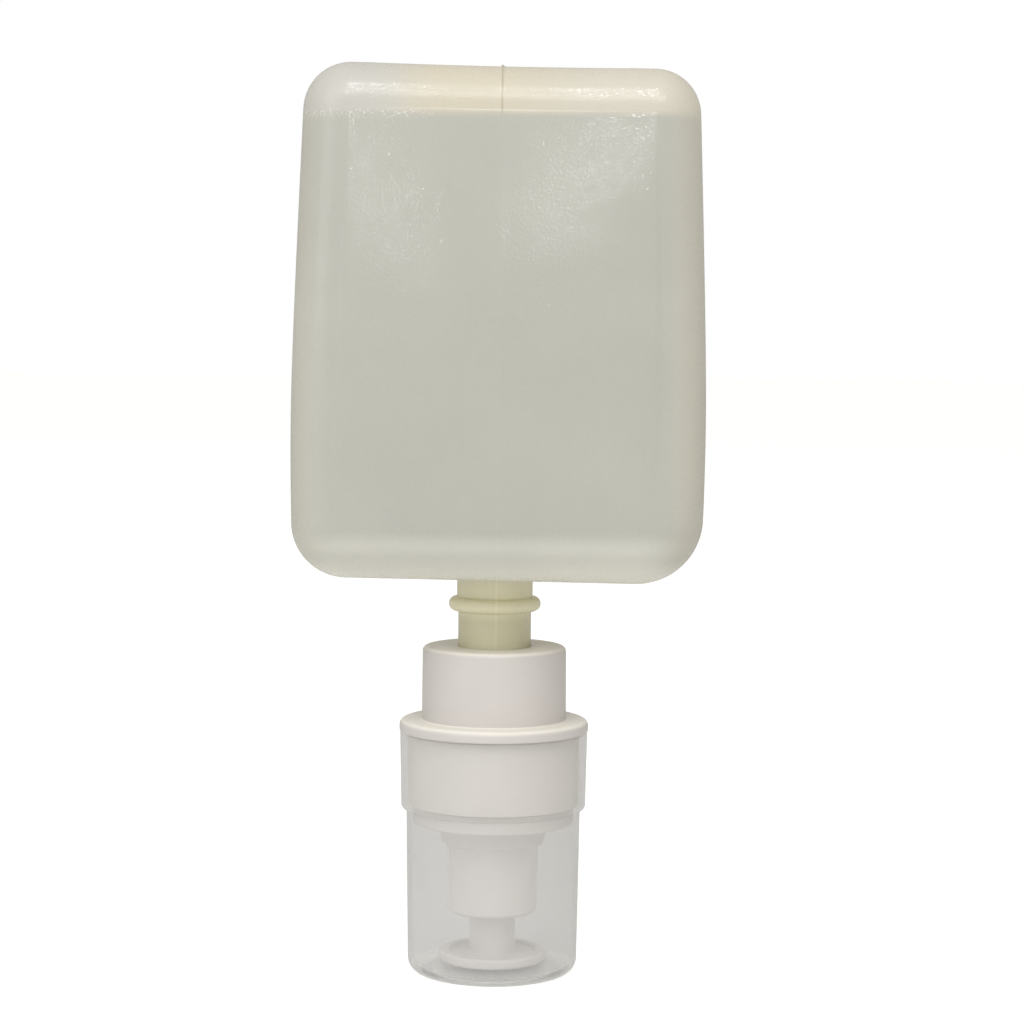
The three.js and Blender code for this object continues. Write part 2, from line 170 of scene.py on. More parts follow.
class Nodes:
    """A material's node tree, built a node at a time in object coordinates (metres)."""

    def __init__(self, name):
        self.material = bpy.data.materials.new(name)
        self.material.use_nodes = True
        self.tree = self.material.node_tree
        self.tree.nodes.clear()
        self.output = self.tree.nodes.new("ShaderNodeOutputMaterial")
        self.where = self.tree.nodes.new("ShaderNodeTexCoord").outputs["Object"]

    def add(self, kind, settings=None, **inputs):
        node = self.tree.nodes.new("ShaderNode" + kind)
        for key, value in (settings or {}).items():
            setattr(node, key, value)
        for key, value in inputs.items():
            self.feed(node, key.replace("_", " "), value)
        return node

    def feed(self, node, socket, value):
        target = node.inputs[socket]
        if isinstance(value, bpy.types.NodeSocket):
            self.tree.links.new(value, target)
        else:
            target.default_value = value

    def noise(self, per_metre, detail=3.0, roughness=0.55, where=None):
        node = self.add("TexNoise", Scale=per_metre, Detail=detail, Roughness=roughness)
        self.feed(node, "Vector", where or self.where)
        return node.outputs["Fac"]

    def mapped(self, value, low, high, to_low, to_high, smooth_step=False):
        settings = {"interpolation_type": "SMOOTHSTEP"} if smooth_step else {}
        node = self.add("MapRange", {"clamp": True, **settings}, Value=value)
        ends = {"From Min": low, "From Max": high, "To Min": to_low, "To Max": to_high}
        for key, number in ends.items():
            node.inputs[key].default_value = number
        return node.outputs["Result"]

    def maths(self, operation, a, b=0.0):
        node = self.add("Math", {"operation": operation})
        self.feed(node, 0, a)
        self.feed(node, 1, b)
        return node.outputs["Value"]

    def mix_colour(self, factor, a, b, blend="MIX"):
        node = self.add("Mix", {"data_type": "RGBA", "blend_type": blend})
        first, second, result = 6, 7, 2  # its colour sockets follow those for other kinds
        self.feed(node, 0, factor)
        self.feed(node, first, a)
        self.feed(node, second, b)
        return node.outputs[result]

    def fade(self, value, low, high, a, b, share=1.0):
        """Colour a where the value is below `low`, turning to b (or a share of it) by `high`."""
        return self.mix_colour(self.mapped(value, low, high, 0, share, True), a, b)

    def bump(self, height, distance, under=None):
        node = self.add("Bump", Height=height, Distance=distance)
        if under:
            self.feed(node, "Normal", under)
        return node.outputs["Normal"]

    def axis(self, name):
        if not hasattr(self, "split"):
            self.split = self.add("SeparateXYZ", Vector=self.where)
        return self.split.outputs[name]

    def mix_shader(self, factor, a, b):
        node = self.add("MixShader")
        self.feed(node, 0, factor)
        self.feed(node, 1, a)
        self.feed(node, 2, b)
        return node.outputs["Shader"]

    def finish(self, shader):
        self.tree.links.new(shader, self.output.inputs["Surface"])
        return self.material


def rgb(red, green, blue):
    return (red, green, blue, 1.0)


def moulded_plastic(name, colour, rough, mottle=0.03, grain=900, depth=0.000012, steel=0.0):
    """Moulded plastic, or metal: faint mottling, uneven gloss, and a fine skin texture."""
    n = Nodes(name)
    darker = tuple(c * (1 - 2 * mottle) for c in colour[:3]) + (1.0,)
    shade = n.mix_colour(n.mapped(n.noise(70), 0.3, 0.7, 0, 1), darker, colour)
    gloss = n.mapped(n.noise(260), 0.3, 0.7, rough - 0.05, rough + 0.06)
    body = n.add("BsdfPrincipled", Base_Color=shade, Roughness=gloss, Metallic=steel)
    n.feed(body, "Normal", n.bump(n.noise(grain, 4), depth))
    return n.finish(body.outputs["BSDF"])


def white_plastic(name, colour, rough, upward=None):
    """White polypropylene: it lets a little light through, and its skin is almost smooth. Faces
    that look up may be given a paler colour: painted light, for the glow of what stands over them."""
    n = Nodes(name)
    darker = tuple(c * 0.96 for c in colour[:3]) + (1.0,)
    shade = n.mix_colour(n.mapped(n.noise(60), 0.3, 0.7, 0, 1), darker, colour)
    if upward:
        # painted light: faces that look up turn to the paler colour, for the glow from above them
        normal = n.add("NewGeometry").outputs["Normal"]
        level = n.add("SeparateXYZ", Vector=normal).outputs["Z"]
        shade = n.mix_colour(n.mapped(level, 0.3, 0.9, 0, 1, True), shade, upward)
    gloss = n.mapped(n.noise(220), 0.3, 0.7, rough - 0.04, rough + 0.05)
    body = n.add("BsdfPrincipled", Base_Color=shade, Roughness=gloss)
    n.feed(body, "Normal", n.bump(n.noise(1100, 4), 0.000008))
    glow = n.add("BsdfTranslucent", Color=colour)
    return n.finish(n.mix_shader(0.12, body.outputs["BSDF"], glow.outputs["BSDF"]))


def woven_mesh(name, colour, per_metre):
    """Woven nylon, its threads crossing at the given count."""
    n = Nodes(name)
    waves = []
    for direction in ("X", "Y"):
        settings = {"wave_type": "BANDS", "bands_direction": direction}
        node = n.add("TexWave", settings, Scale=per_metre, Vector=n.where)
        waves.append(node.outputs["Fac"])
    weave = n.maths("MAXIMUM", *waves)
    shade = n.mix_colour(n.mapped(weave, 0.4, 0.9, 0, 1), rgb(0.30, 0.30, 0.29), colour)
    body = n.add("BsdfPrincipled", Base_Color=shade, Roughness=0.7)
    n.feed(body, "Normal", n.bump(weave, 0.00008))
    return n.finish(body.outputs["BSDF"])


BOTTLE_COLOURS = {
    # painted shade: the neck below its bead is darker, for the shade where the pump's body stands
    # inside it
    "lower neck": rgb(0.74, 0.70, 0.50),  # the pump's body stands inside it
    # painted light: the neck's yellow is paler than the plastic's own, for light shining through
    # it
    "neck": rgb(0.90, 0.86, 0.63),
    # painted light: the bottle's underside round the neck is pale, for light shining through the
    # bottle
    "shoulder": rgb(0.92, 0.91, 0.83),
    # painted light: the rounding above the shoulder is lighter where it faces the bright floor
    "low band": rgb(0.66, 0.655, 0.59),
    "body": rgb(0.51, 0.51, 0.462),
    # painted light: the sides are paler, and wall_colour makes the right one paler still
    "side": rgb(0.67, 0.64, 0.55),
    # painted reflection and shade: the empty top is greyer at the left, for the cool lamp's
    # reflection, and darker and more golden in the middle
    "air left": rgb(0.59, 0.575, 0.53),
    "air middle": rgb(0.66, 0.61, 0.49),
    "air right": rgb(0.66, 0.62, 0.53),
    "froth": rgb(0.95, 0.93, 0.86),
}
# the parting line multiplies the colour that it crosses
PARTING = {
    "neck": rgb(1.08, 1.08, 1.08),
    "body": rgb(1.015, 1.015, 1.01),
    "roof": rgb(0.70, 0.68, 0.62),
}


def wall_colour(n, levels):
    """Yellow in the thick neck, and greyer where soap is behind it. Painted light and shade as
    well:
    the neck and the underside round it paler, the neck below its bead darker, the low band
    lighter towards the bright floor, the sides paler (the right one more), and the empty top
    greyer at the left and darker and more golden in the middle.
    """
    height, x = n.axis("Z"), n.axis("X")
    shoulder, bead, band = levels["shoulder"], levels["bead"], levels["band"]
    shades = BOTTLE_COLOURS
    # painted shade below the bead, and painted light above it
    colour = n.fade(height, bead - 0.003, bead + 0.001, shades["lower neck"], shades["neck"])
    # painted light: the underside round the neck turns pale
    colour = n.fade(height, shoulder - 0.004, shoulder + 0.002, colour, shades["shoulder"])
    # painted light: the low band is lighter, facing the bright floor
    colour = n.fade(height, shoulder + 0.001, shoulder + 0.008, colour, shades["low band"])
    colour = n.fade(height, band, band + 0.006, colour, shades["body"])
    # painted light: paler towards both sides, the right side more
    for value, share in ((n.maths("ABSOLUTE", x), 0.5), (x, 0.35)):
        colour = n.fade(value, 0.044, 0.056, colour, shades["side"], share)
    # painted reflection and shade across the empty top: greyer at the left, darker and golden in
    # the middle
    air = n.fade(x, -0.035, -0.015, shades["air left"], shades["air middle"])
    air = n.fade(x, 0.0, 0.025, air, shades["air right"])
    colour = n.mix_colour(levels["headspace"], colour, air)
    cloud = n.mapped(n.noise(22, 4), 0.3, 0.7, 0.96, 1.03)
    clouds = n.add("CombineColor", Red=cloud, Green=cloud, Blue=cloud).outputs[0]
    return n.mix_colour(1.0, colour, clouds, "MULTIPLY")


def with_froth(n, colour, levels):
    """Fine bubbles against the wall, along the soap's surface at the left."""
    height, liquid = n.axis("Z"), levels["liquid"]
    froth = n.mapped(n.noise(1900, 1), 0.54, 0.66, 0, 0.45)
    for value, none, full in (
        (height, liquid - 0.0022, liquid - 0.0006),
        (height, liquid + 0.0014, liquid + 0.0002),
        (n.axis("X"), -0.012, -0.026),
    ):
        froth = n.maths("MULTIPLY", froth, n.mapped(value, none, full, 0, 1, True))
    return n.mix_colour(froth, colour, BOTTLE_COLOURS["froth"])


def with_parting_line(n, colour, levels):
    """The mould's parting line: dark through the fin over the roof, hardly there below it."""
    height, shoulder = n.axis("Z"), levels["shoulder"]
    leaned = n.maths("MULTIPLY", n.maths("SUBTRACT", height, shoulder), BOTTLE["lean"])
    middle = n.maths("ADD", leaned, BOTTLE["offset"] * MM)
    across = n.maths("ABSOLUTE", n.maths("SUBTRACT", n.axis("X"), middle))
    on_line = n.mapped(across, 0.0001, 0.0004, 1, 0, True)
    line = n.mix_colour(levels["headspace"], PARTING["body"], PARTING["roof"])
    on_neck = n.mapped(height, shoulder - 0.001, shoulder, 1, 0)
    line = n.mix_colour(on_neck, line, PARTING["neck"])
    marked = n.mix_colour(1.0, colour, line, "MULTIPLY")
    return n.mix_colour(n.maths("MULTIPLY", on_line, 0.8), colour, marked)


def bottle_material(levels):
    """Natural polyethylene: milky, and glossy in flecks under an orange-peel skin."""
    n = Nodes("natural_bottle")
    liquid = levels["liquid"]
    levels["headspace"] = n.mapped(n.axis("Z"), liquid - 0.001, liquid + 0.001, 0, 1)
    colour = with_parting_line(n, with_froth(n, wall_colour(n, levels), levels), levels)
    peel = n.bump(n.noise(1200, 2, 0.5), 0.00004)
    skin = n.bump(n.noise(55, 2), 0.00018, under=peel)
    flecks = n.mapped(n.noise(1300, 1), 0.45, 0.66, 0.15, 0.9)
    body = n.add("BsdfPrincipled", Base_Color=colour, Roughness=0.42, Normal=skin)
    n.feed(body, "Coat Weight", flecks)
    n.feed(body, "Coat Roughness", 0.05)
    n.feed(body, "Coat Normal", skin)
    glow = n.add("BsdfTranslucent", Color=colour, Normal=skin)
    milky = n.mix_shader(0.25, body.outputs["BSDF"], glow.outputs["BSDF"])
    clear = n.add("BsdfTransparent", Color=rgb(0.97, 0.96, 0.91))
    return n.finish(n.mix_shader(0.86, clear.outputs["BSDF"], milky))


def cap_material():
    """Frosted clear polypropylene: thin and a little milky, more so where it is seen edge on."""
    n = Nodes("clear_cap")
    edge = n.add("LayerWeight", Blend=0.25)
    haze = n.mapped(edge.outputs["Facing"], 0.0, 0.9, 0.21, 0.26)
    haze = n.maths("MAXIMUM", haze, n.mapped(n.axis("Z"), 0.0005, 0.003, 0.6, 0.2, True))
    gloss = n.mapped(n.noise(180, 3), 0.3, 0.7, 0.22, 0.34)
    skin = n.bump(n.noise(700, 3), 0.00002)
    ripple = n.bump(n.noise(40, 1), 0.00008, under=skin)
    tint = rgb(0.93, 0.925, 0.91)
    body = n.add("BsdfPrincipled", Base_Color=tint, Roughness=gloss, Normal=ripple)
    glow = n.add("BsdfTranslucent", Color=tint, Normal=ripple)
    frosted = n.mix_shader(0.4, body.outputs["BSDF"], glow.outputs["BSDF"])
    clear = n.add("BsdfTransparent", Color=rgb(0.982, 0.98, 0.976))
    return n.finish(n.mix_shader(haze, clear.outputs["BSDF"], frosted))


def soap_material():
    n = Nodes("soap")
    cloud = n.mapped(n.noise(18, 3), 0.3, 0.7, 0, 1)
    colour = n.mix_colour(cloud, rgb(0.50, 0.48, 0.38), rgb(0.54, 0.52, 0.43))
    body = n.add("BsdfPrincipled", Base_Color=colour, Roughness=0.18)
    n.feed(body, "Normal", n.bump(n.noise(90, 2), 0.0001))
    return n.finish(body.outputs["BSDF"])


# ------------------------------------------------------------------------- bottle and soap

BOTTLE = {
    "top": span("bottle")[1],
    "shoulder": 115.3,
    "lip": span("bottle")[0],
    "depth": 76.0,
    "edge": 12.2,  # rounding from the wide faces into the sides
    "widest": 57.15,
    "widest_level": 156.0,
    "lean_above": 0.0425,  # how fast the sides draw in, far above and below the widest level
    "lean_below": 0.03,
    "bend": 25.0,
    "corners": {"top left": 13.4, "top right": 12.6, "low left": 15.2, "low right": 18.6},
    "saddle": 0.4,  # the roof's middle is lower than its ends
    "crown": 1.7,  # the wide panels bulge
    "lean": 0.005,  # the bottle sits a little askew on its neck, and its ends are not square to it
    "skew": 0.009,
    "offset": 0.5,
    "wall": 0.9,
}
LIQUID = span("soap")[1]
CELL = 1.5  # about how large a face of the bottle's mesh is
EDGE_STEPS = 12  # steps round the rounding from a wide face into a side
SIDE_STEPS = 24  # and across the side
SEAM = 0.6  # half width of the parting line
SEAM_COLUMNS = (0.3, SEAM, 1.0)  # where the mesh has extra columns either side of it


def side_at(z):
    """Half width of the bottle at a level."""
    off = z - BOTTLE["widest_level"]
    lean = BOTTLE["lean_above"] if off > 0 else BOTTLE["lean_below"]
    return BOTTLE["widest"] - lean * (math.hypot(off, BOTTLE["bend"]) - BOTTLE["bend"])


def front_outline():
    """The bottle's front outline without its neck, from the low left corner anticlockwise."""
    top, shoulder, round_ = BOTTLE["top"], BOTTLE["shoulder"], BOTTLE["corners"]
    low = side_at(shoulder)
    high = side_at(top)
    # points up the sides and along the roof, clear of the rounded corners
    levels = [shoulder + 24 + 4 * i for i in range(26)]
    roof_end = 40
    roof = [(x, top + BOTTLE["saddle"] * (x / roof_end) ** 2) for x in range(-36, 37, 3)]
    end = top + BOTTLE["saddle"]
    return outline(
        [(-low, shoulder, round_["low left"]), (low, shoulder, round_["low right"])]
        + [(side_at(z), z) for z in levels]
        + [(high, end, round_["top right"])]
        + list(reversed(roof))
        + [(-high, end, round_["top left"])]
        + [(-side_at(z), z) for z in reversed(levels)],
        steps=28, longest=0.75)


def along(points, distances):
    """Points at the given distances along a polyline."""
    out, run, i = [], 0.0, 0
    for distance in distances:
        while i < len(points) - 2 and run + (points[i + 1] - points[i]).length < distance:
            run += (points[i + 1] - points[i]).length
            i += 1
        step = (points[i + 1] - points[i]).length
        out.append(points[i].lerp(points[i + 1], min(1.0, (distance - run) / step)))
    return out


def length_of(points):
    return sum((b - a).length for a, b in zip(points, points[1:]))


def seam_steps(total, cells):
    """Even steps along a run, with a few closer ones either side of its middle."""
    even = [total * i / cells for i in range(cells + 1)]
    extra = [total / 2 + s * d for d in SEAM_COLUMNS for s in (-1, 1)]
    return sorted(even + extra)


def pillow(inset):
    """The bottle's body as a closed mesh, moved in from its outer face by `inset`."""
    ring = front_outline()
    count = len(ring)
    # the outline is divided at its farthest point in each of four slanting directions
    middle, slant = 180, 0.8
    corners = [
        min(range(count), key=lambda i: sx * ring[i].x + sz * (ring[i].y - middle) * slant)
        for sx, sz in ((1, 1), (-1, 1), (-1, -1), (1, -1))
    ]
    runs = []
    for a, b in zip(corners, corners[1:] + corners[:1]):
        length = (b - a) % count
        runs.append([ring[(a + i) % count] for i in range(length + 1)])
    bottom, right = runs[:2]
    across = round(length_of(bottom) / CELL / 2) * 2
    upward = round(length_of(right) / CELL / 2) * 2
    sampled = [
        along(run, seam_steps(length_of(run), across))
        if flat else
        along(run, [length_of(run) * i / upward for i in range(upward + 1)])
        for run, flat in zip(runs, (True, False, True, False))
    ]
    loop = [point for run in sampled for point in run[:-1]]
    total = len(loop)
    normals = []
    for i in range(total):
        tangent = (loop[(i + 1) % total] - loop[i - 1]).normalized()
        normals.append(Vector((tangent.y, -tangent.x)))
    edge = BOTTLE["edge"]
    core = [p - n * edge for p, n in zip(loop, normals)]

    # the section from the front panel's edge round the side to the back panel's edge
    flat = BOTTLE["depth"] / 2 - edge
    radius = edge - inset
    quarter = [math.pi / 2 * i / EDGE_STEPS for i in range(EDGE_STEPS + 1)]
    section = [(radius * math.sin(a), -flat - radius * math.cos(a)) for a in quarter]
    section += [(radius, -flat + 2 * flat * i / SIDE_STEPS) for i in range(1, SIDE_STEPS)]
    section += [(radius * math.sin(a), flat + radius * math.cos(a)) for a in reversed(quarter)]

    vertices, faces = [], []
    bands = []
    for out, y in section:
        bands.append(range(len(vertices), len(vertices) + total))
        for c, n in zip(core, normals):
            reach = out + seam_height(c.x, c.y + n.y * out, inset)
            vertices.append((c.x + n.x * reach, y, c.y + n.y * reach))
    for a, b in zip(bands, bands[1:]):
        faces += [(a[i], a[(i + 1) % total], b[(i + 1) % total], b[i]) for i in range(total)]

    # the two panels, each spread between the four runs of the core outline
    columns, rows = len(sampled[0]) - 1, len(sampled[1]) - 1
    start = [0, columns, columns + rows, 2 * columns + rows]
    low = [core[i] for i in range(columns + 1)]
    east = [core[start[1] + i] for i in range(rows + 1)]
    high = [core[(start[3] - i) % total] for i in range(columns + 1)]
    west = [core[(total - i) % total] for i in range(rows + 1)]
    for band, face_side in ((bands[0], -1), (bands[-1], 1)):
        index = {}
        for i in range(columns + 1):
            index[i, 0] = band[i]
            index[i, rows] = band[(start[3] - i) % total]
        for j in range(rows + 1):
            index[0, j] = band[(total - j) % total]
            index[columns, j] = band[start[1] + j]
        for i in range(1, columns):
            u = i / columns
            for j in range(1, rows):
                v = j / rows
                flat_point = (
                    low[i] * (1 - v) + high[i] * v + west[j] * (1 - u) + east[j] * u
                    - low[0] * (1 - u) * (1 - v) - low[-1] * u * (1 - v)
                    - high[0] * (1 - u) * v - high[-1] * u * v
                )
                spread = (1 - (2 * u - 1) ** 2) * (1 - (2 * v - 1) ** 2)
                bulge = BOTTLE["crown"] * spread ** 1.5
                seam = seam_height(flat_point.x, flat_point.y, inset)
                y = face_side * (BOTTLE["depth"] / 2 - inset + bulge + seam)
                index[i, j] = len(vertices)
                vertices.append((flat_point.x, y, flat_point.y))
        for i in range(columns):
            for j in range(rows):
                faces.append((index[i, j], index[i + 1, j], index[i + 1, j + 1], index[i, j + 1]))
    return [askew(v) for v in vertices], faces


def seam_height(x, z, inset):
    """How far the mould's parting line stands out: a fine ridge, and a thin fin over the roof."""
    if inset or abs(x) > SEAM:
        return 0.0
    ridge, fin_height = 0.004, 0.5
    fin = min(1.0, max(0.0, (z - BOTTLE["top"] + BOTTLE["edge"]) / BOTTLE["edge"]))
    return (ridge + fin_height * fin ** 2) * (1 - (abs(x) / SEAM) ** 2)


def askew(point):
    """The bottle's body sits slightly askew on its neck."""
    x, y, z = point
    rise = z - BOTTLE["shoulder"]
    leaned = x + BOTTLE["offset"] + BOTTLE["lean"] * rise
    return leaned, y, z - (BOTTLE["lean"] + BOTTLE["skew"]) * x


def united(obj, other):
    """The union of two closed objects, as the first one's mesh."""
    cut = obj.modifiers.new("union", "BOOLEAN")
    cut.operation = "UNION"
    cut.solver = "EXACT"
    cut.object = other
    evaluated = obj.evaluated_get(bpy.context.evaluated_depsgraph_get())
    mesh = bpy.data.meshes.new_from_object(evaluated)
    obj.modifiers.clear()
    obj.data = mesh
    bpy.data.objects.remove(other)


NECK = {"outer": 10.8, "lower": 10.4, "bead": 13.1, "bead_top": 108.3, "bead_bottom": 104.3}
SNAP = {"outer": 11.9, "bottom": 89.2}
PLATE_UNDER = 92.1


def neck_corners():
    root = BOTTLE["shoulder"] + 0.25
    return [
        (0, BOTTLE["lip"]),
        (NECK["lower"], BOTTLE["lip"], 0.5),
        (NECK["lower"], SNAP["bottom"]),
        (SNAP["outer"], PLATE_UNDER - 1.5, 0.3),
        (SNAP["outer"], PLATE_UNDER - 0.3, 0.3),
        (NECK["lower"], PLATE_UNDER - 0.3),
        (NECK["lower"], NECK["bead_bottom"], 0.3),
        (NECK["bead"], NECK["bead_bottom"], 1.9),
        (NECK["bead"], NECK["bead_top"], 1.9),
        (NECK["outer"], NECK["bead_top"], 0.4),
        (NECK["outer"], root, 1.8),
        (NECK["outer"] + 3, root),
        (NECK["outer"] + 3, root + 2),
        (0, root + 2),
    ]


def make_bottle():
    bottle = mesh_object("bottle_wall", [pillow(0)])
    united(bottle, mesh_object("bottle_neck", [turned(neck_corners())]))
    smooth(bottle.data, 40)
    levels = {
        "bead": NECK["bead_bottom"] * MM,
        "shoulder": BOTTLE["shoulder"] * MM,
        "band": (BOTTLE["shoulder"] + 9) * MM,
        "liquid": LIQUID * MM,
    }
    place(bottle, "refill", "natural_bottle", bottle_material(levels), "bottle")


def make_soap():
    clearance = 0.3
    soap = mesh_object("soap_filling", [pillow(BOTTLE["wall"] + clearance)])
    work = bmesh.new()
    work.from_mesh(soap.data)
    cut = bmesh.ops.bisect_plane(
        work, geom=list(work.verts) + list(work.edges) + list(work.faces),
        plane_co=(0, 0, LIQUID * MM), plane_no=(0, 0, 1), clear_outer=True)
    edges = [e for e in cut["geom_cut"] if isinstance(e, bmesh.types.BMEdge)]
    bmesh.ops.edgeloop_fill(work, edges=edges)
    bmesh.ops.recalc_face_normals(work, faces=work.faces)
    work.to_mesh(soap.data)
    work.free()
    bore, inlet = 8.3, span("pump_body")[1] + clearance
    inside = BOTTLE["shoulder"] + 4
    corners = [(0, inlet), (bore, inlet), (bore, inside), (0, inside)]
    column = mesh_object("soap_column", [turned(corners, ROUND // 2)])
    united(soap, column)
    smooth(soap.data, 40)
    place(soap, "refill", "soap", soap_material(), "soap")


# ------------------------------------------------------------------------- pump pieces


def make_housing(material):
    """Collar, flange and skirt in one. The collar draws in a little towards its top."""
    skirt, skirt_bore = 24.5, 22.9
    collar, collar_top, collar_bore = 20.65, 20.5, 18.75
    flange, flange_bottom, flange_top, ledge = 27.03, 69.75, 73.1, 71.1
    neck_hole = NECK["lower"] + 0.08
    bottom, top = span("pump_housing")
    housing = mesh_object("collar_housing", [turned([
        (skirt_bore, bottom, 0.2),
        (skirt, bottom, 0.4),
        (skirt, flange_bottom, 0.3),
        (flange, flange_bottom, 0.4),
        (flange, flange_top, 1.6),
        (collar, flange_top, 0.5),
        (collar_top, top, 1.4),
        (neck_hole, top, 0.15),
        (neck_hole, PLATE_UNDER),
        (collar_bore, PLATE_UNDER),
        (collar_bore, ledge),
        (skirt_bore, ledge),
    ])])
    place(housing, "refill", "white_plastic", material, "pump_housing")


def make_guide(material):
    """Guide tube, boss and rim in one, with the plug that goes up inside the skirt."""
    bottom, top = span("nozzle_guide")
    tube, boss, rim = 12.8, 14.9, 22.95
    boss_bottom, rim_bottom, rim_top = 37.4, 43.2, 48.4
    plug, plug_bore = 22.6, 21.2
    hole, bore, floor = 6.93, 11.3, 1.7
    guide = mesh_object("guide_tube", [turned([
        (hole, bottom, 0.3),
        (tube, bottom, 1.3),
        (tube, boss_bottom, 0.5),
        (boss, boss_bottom, 0.9),
        (boss, rim_bottom, 0.4),
        (rim, rim_bottom, 0.8),
        (rim, rim_top, 0.2),
        (plug, rim_top),
        (plug, top),
        (plug_bore, top),
        (plug_bore, rim_bottom + floor, 0.6),
        (bore, rim_bottom + floor, 0.4),
        (bore, bottom + floor),
        (hole, bottom + floor, 0.3),
    ])])
    place(guide, "refill", "white_plastic", material, "nozzle_guide")


def make_nozzle(material):
    """Outlet tube with the broad disc at its foot, which is dished round the tube."""
    bottom, top = span("nozzle")
    tube, bore = 6.63, 5.0
    disc, disc_top = 15.2, 6.2
    dish, dish_depth = 12.5, 0.7
    nozzle = mesh_object("foam_nozzle", [turned([
        (bore, bottom, 0.5),
        (disc, bottom, 0.7),
        (disc, disc_top, 0.8),
        (dish, disc_top, 0.3),
        (dish - dish_depth, disc_top - dish_depth, 0.4),
        (tube, disc_top - dish_depth, 0.5),
        (tube, top, 0.4),
        (bore, top, 0.3),
    ])])
    place(nozzle, "piston", "white_plastic", material, "nozzle")


def make_spring(material):
    """The return spring's coil, finer than its CAD stand-in and given a mesh of its own. The real
    spring shortens with the stroke.
    """
    radius, wire, turns = 8.6, 0.45, 7
    around, per_turn = 12, 40  # steps round the wire, and along a turn
    low, high = span("return_spring")
    bottom, top = low + wire, high - wire
    steps = turns * per_turn
    up = Vector((0, 0, 1))
    vertices, faces = [], []
    for i in range(steps + 1):
        angle = math.tau * turns * i / steps
        out = Vector((math.cos(angle), math.sin(angle), 0))
        centre = out * radius + up * (bottom + (top - bottom) * i / steps)
        for k in range(around):
            a = math.tau * k / around
            vertices.append(tuple(centre + (out * math.cos(a) + up * math.sin(a)) * wire))
    for i in range(steps):
        for k in range(around):
            n = (k + 1) % around
            a, b = i * around, (i + 1) * around
            faces.append((a + k, a + n, b + n, b + k))
    faces.append(tuple(range(around)))
    faces.append(tuple(steps * around + k for k in range(around)))
    spring = mesh_object("return_coil", [(vertices, faces)])
    place(spring, "refill", "spring_steel", material, "return_spring")
    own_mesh(spring)


def make_overcap():
    """Push-on cup: foot ring, tapering wall, and the wide ring that fits round the skirt."""
    wall, recess, floor_top, shoulder = 1.35, 0.5, 1.8, 47.3
    foot, bottom_radius, waist, ring, rim_radius = 16.6, 24.21, 24.9, 26.38, 26.85
    rim = span("overcap")[1]
    rim_bore = rim_radius - 1.5

    def uneven(angle, r, z):
        """The rim's trimmed edge isn't quite level, and the ring isn't quite round."""
        high = max(0.0, (z - shoulder) / (rim - shoulder))
        way = Vector((math.cos(angle) * 2.5, math.sin(angle) * 2.5, 3.0))
        return r + 0.05 * high * noise.noise(way), z + 0.16 * high ** 8 * noise.noise(way * 3)

    overcap = mesh_object("overcap_cup", [turned([
        (0, recess),
        (foot, recess, 0.3),
        (foot + recess, 0, 0.2),
        (bottom_radius, 0, 4),
        (waist, shoulder, 0.5),
        (ring, shoulder, 1.3),
        (rim_radius, rim, 0.4),
        (rim_bore, rim, 0.4),
        (rim_bore - 0.35, shoulder + 0.9, 0.5),
        (waist - wall, shoulder - 0.5, 0.5),
        (bottom_radius - wall, floor_top, 2.8),
        (0, floor_top),
    ], shape=uneven)], sharp=50)
    place(overcap, "cap", "clear_cap", cap_material(), "overcap")


# ------------------------------------------------------------------------- studio

FILL = 0.71  # how bright the surround is, as the part sees it
VEILED = 0.41  # and as the camera sees it through a clear piece
FLOOR_GLOW = 0.45  # light of the floor's own, where it is seen by itself
VEILED_GLOW = 0.16  # and where it is seen through a clear piece


def sight(tree):
    """Two factors: 1 where the camera sees a surface with nothing clear in between, and 1 where
    it sees it through something clear."""

    def maths(operation, a, b):
        node = tree.nodes.new("ShaderNodeMath")
        node.operation = operation
        for socket, value in zip(node.inputs, (a, b)):
            if isinstance(value, bpy.types.NodeSocket):
                tree.links.new(value, socket)
            else:
                socket.default_value = value
        return node.outputs["Value"]

    path = tree.nodes.new("ShaderNodeLightPath")
    seen = path.outputs["Is Camera Ray"]
    veiled = maths("GREATER_THAN", path.outputs["Transparent Depth"], 0.5)
    through = maths("MULTIPLY", seen, veiled)
    return maths("SUBTRACT", seen, through), through


